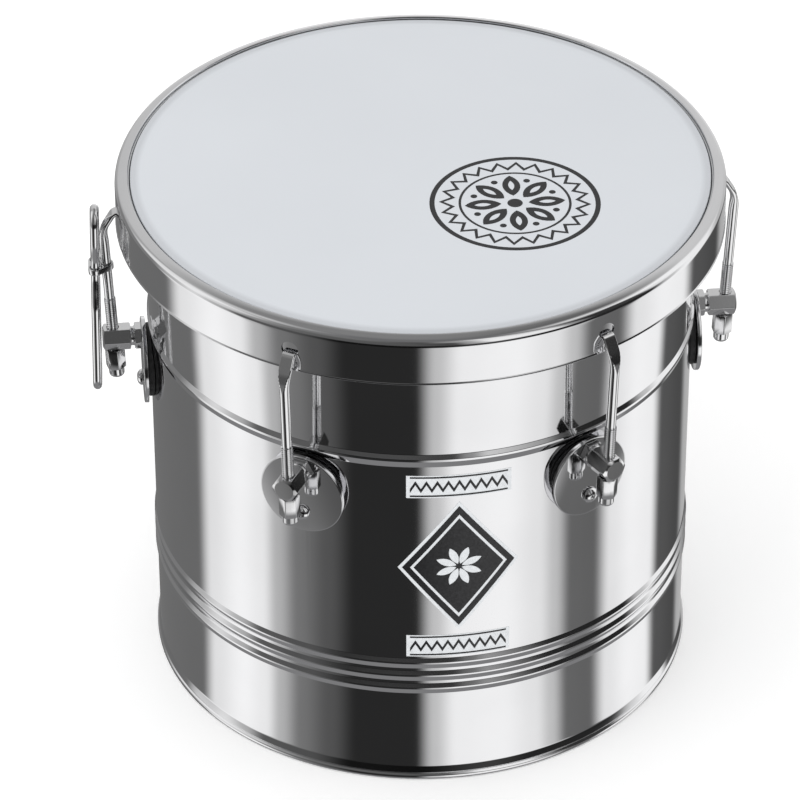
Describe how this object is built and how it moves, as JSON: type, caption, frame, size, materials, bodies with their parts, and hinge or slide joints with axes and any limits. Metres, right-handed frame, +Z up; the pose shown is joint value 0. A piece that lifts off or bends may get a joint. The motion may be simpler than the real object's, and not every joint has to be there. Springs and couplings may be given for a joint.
{
  "type": "hand repique drum",
  "caption": "Single-headed steel repique with a flanged counterhoop, hooked tension rods on round lug plates and a swinging strap link.",
  "frame": {"origin": "on the drum's axis, in the plane of the rolled bottom edge that it stands on", "axes": "+Z up along the drum's axis, towards the head; the lug with the strap link is at 225 degrees from +X towards +Y, and the other lugs follow every 60 degrees"},
  "size_m": [0.3434, 0.3434, 0.305],
  "materials": {
    "polished_steel": "mirror-polished stainless steel sheet and bright plated hardware",
    "zinc_plate": "dull zinc plate on the fasteners inside the shell",
    "aluminium": "plain extruded aluminium",
    "milky_film": "milky translucent drum film, softly matte",
    "black_rubber": "matte black rubber"
  },
  "bodies": {
    "drum": {"shell": "polished_steel", "counterhoop": "polished_steel", "drumhead": "milky_film", "flesh_hoop": "aluminium", "lug_plate_1": "polished_steel", "rubber_gasket_1": "black_rubber", "lug_post_1": "polished_steel", "post_bolt_1": "zinc_plate", "plate_screw_1": "polished_steel", "plate_screw_nut_1": "zinc_plate", "lug_plate_2": "polished_steel", "rubber_gasket_2": "black_rubber", "lug_post_2": "polished_steel", "post_bolt_2": "zinc_plate", "plate_screw_2": "polished_steel", "plate_screw_nut_2": "zinc_plate", "lug_plate_3": "polished_steel", "rubber_gasket_3": "black_rubber", "lug_post_3": "polished_steel", "post_bolt_3": "zinc_plate", "plate_screw_3": "polished_steel", "plate_screw_nut_3": "zinc_plate", "lug_plate_4": "polished_steel", "rubber_gasket_4": "black_rubber", "lug_post_4": "polished_steel", "post_bolt_4": "zinc_plate", "plate_screw_4": "polished_steel", "plate_screw_nut_4": "zinc_plate", "lug_plate_5": "polished_steel", "rubber_gasket_5": "black_rubber", "lug_post_5": "polished_steel", "post_bolt_5": "zinc_plate", "plate_screw_5": "polished_steel", "plate_screw_nut_5": "zinc_plate", "lug_plate_6": "polished_steel", "rubber_gasket_6": "black_rubber", "lug_post_6": "polished_steel", "post_bolt_6": "zinc_plate", "plate_screw_6": "polished_steel", "plate_screw_nut_6": "zinc_plate"},
    "hook_1": {"tension_hook_1": "polished_steel"},
    "nut_1": {"cap_nut_1": "polished_steel"},
    "strap": {"strap_link": "polished_steel", "link_clip": "polished_steel"},
    "hook_2": {"tension_hook_2": "polished_steel"},
    "nut_2": {"cap_nut_2": "polished_steel"},
    "hook_3": {"tension_hook_3": "polished_steel"},
    "nut_3": {"cap_nut_3": "polished_steel"},
    "hook_4": {"tension_hook_4": "polished_steel"},
    "nut_4": {"cap_nut_4": "polished_steel"},
    "hook_5": {"tension_hook_5": "polished_steel"},
    "nut_5": {"cap_nut_5": "polished_steel"},
    "hook_6": {"tension_hook_6": "polished_steel"},
    "nut_6": {"cap_nut_6": "polished_steel"}
  },
  "joints": [
    {"name": "hook_1_slide", "type": "slide", "parent": "drum", "child": "hook_1", "axis": [-0.0321, -0.0321, 0.999], "range_m": [0, 0.00152]},
    {"name": "nut_1_turn", "type": "hinge", "parent": "drum", "child": "nut_1", "pos_m": [-0.12035, -0.12035, 0.2054], "axis": [0.0321, 0.0321, -0.999], "range_deg": [0, 462]},
    {"name": "strap_swing", "type": "hinge", "parent": "hook_1", "child": "strap", "pos_m": [-0.12035, -0.12035, 0.2054], "axis": [-0.0321, -0.0321, 0.999], "range_deg": [-50, 50]},
    {"name": "hook_2_slide", "type": "slide", "parent": "drum", "child": "hook_2", "axis": [0.0117, -0.0438, 0.999], "range_m": [0, 0.00152]},
    {"name": "nut_2_turn", "type": "hinge", "parent": "drum", "child": "nut_2", "pos_m": [0.04405, -0.1644, 0.2054], "axis": [-0.0117, 0.0438, -0.999], "range_deg": [0, 462]},
    {"name": "hook_3_slide", "type": "slide", "parent": "drum", "child": "hook_3", "axis": [0.0438, -0.0117, 0.999], "range_m": [0, 0.00152]},
    {"name": "nut_3_turn", "type": "hinge", "parent": "drum", "child": "nut_3", "pos_m": [0.1644, -0.04405, 0.2054], "axis": [-0.0438, 0.0117, -0.999], "range_deg": [0, 462]},
    {"name": "hook_4_slide", "type": "slide", "parent": "drum", "child": "hook_4", "axis": [0.0321, 0.0321, 0.999], "range_m": [0, 0.00152]},
    {"name": "nut_4_turn", "type": "hinge", "parent": "drum", "child": "nut_4", "pos_m": [0.12035, 0.12035, 0.2054], "axis": [-0.0321, -0.0321, -0.999], "range_deg": [0, 462]},
    {"name": "hook_5_slide", "type": "slide", "parent": "drum", "child": "hook_5", "axis": [-0.0117, 0.0438, 0.999], "range_m": [0, 0.00152]},
    {"name": "nut_5_turn", "type": "hinge", "parent": "drum", "child": "nut_5", "pos_m": [-0.04405, 0.1644, 0.2054], "axis": [0.0117, -0.0438, -0.999], "range_deg": [0, 462]},
    {"name": "hook_6_slide", "type": "slide", "parent": "drum", "child": "hook_6", "axis": [-0.0438, 0.0117, 0.999], "range_m": [0, 0.00152]},
    {"name": "nut_6_turn", "type": "hinge", "parent": "drum", "child": "nut_6", "pos_m": [-0.1644, 0.04405, 0.2054], "axis": [0.0438, -0.0117, -0.999], "range_deg": [0, 462]}
  ],
  "couplings": [
    {"joint": "nut_1_turn", "follows": "hook_1_slide", "rad_per_m": 4947.4},
    {"joint": "nut_2_turn", "follows": "hook_2_slide", "rad_per_m": 4947.4},
    {"joint": "nut_3_turn", "follows": "hook_3_slide", "rad_per_m": 4947.4},
    {"joint": "nut_4_turn", "follows": "hook_4_slide", "rad_per_m": 4947.4},
    {"joint": "nut_5_turn", "follows": "hook_5_slide", "rad_per_m": 4947.4},
    {"joint": "nut_6_turn", "follows": "hook_6_slide", "rad_per_m": 4947.4}
  ]
}
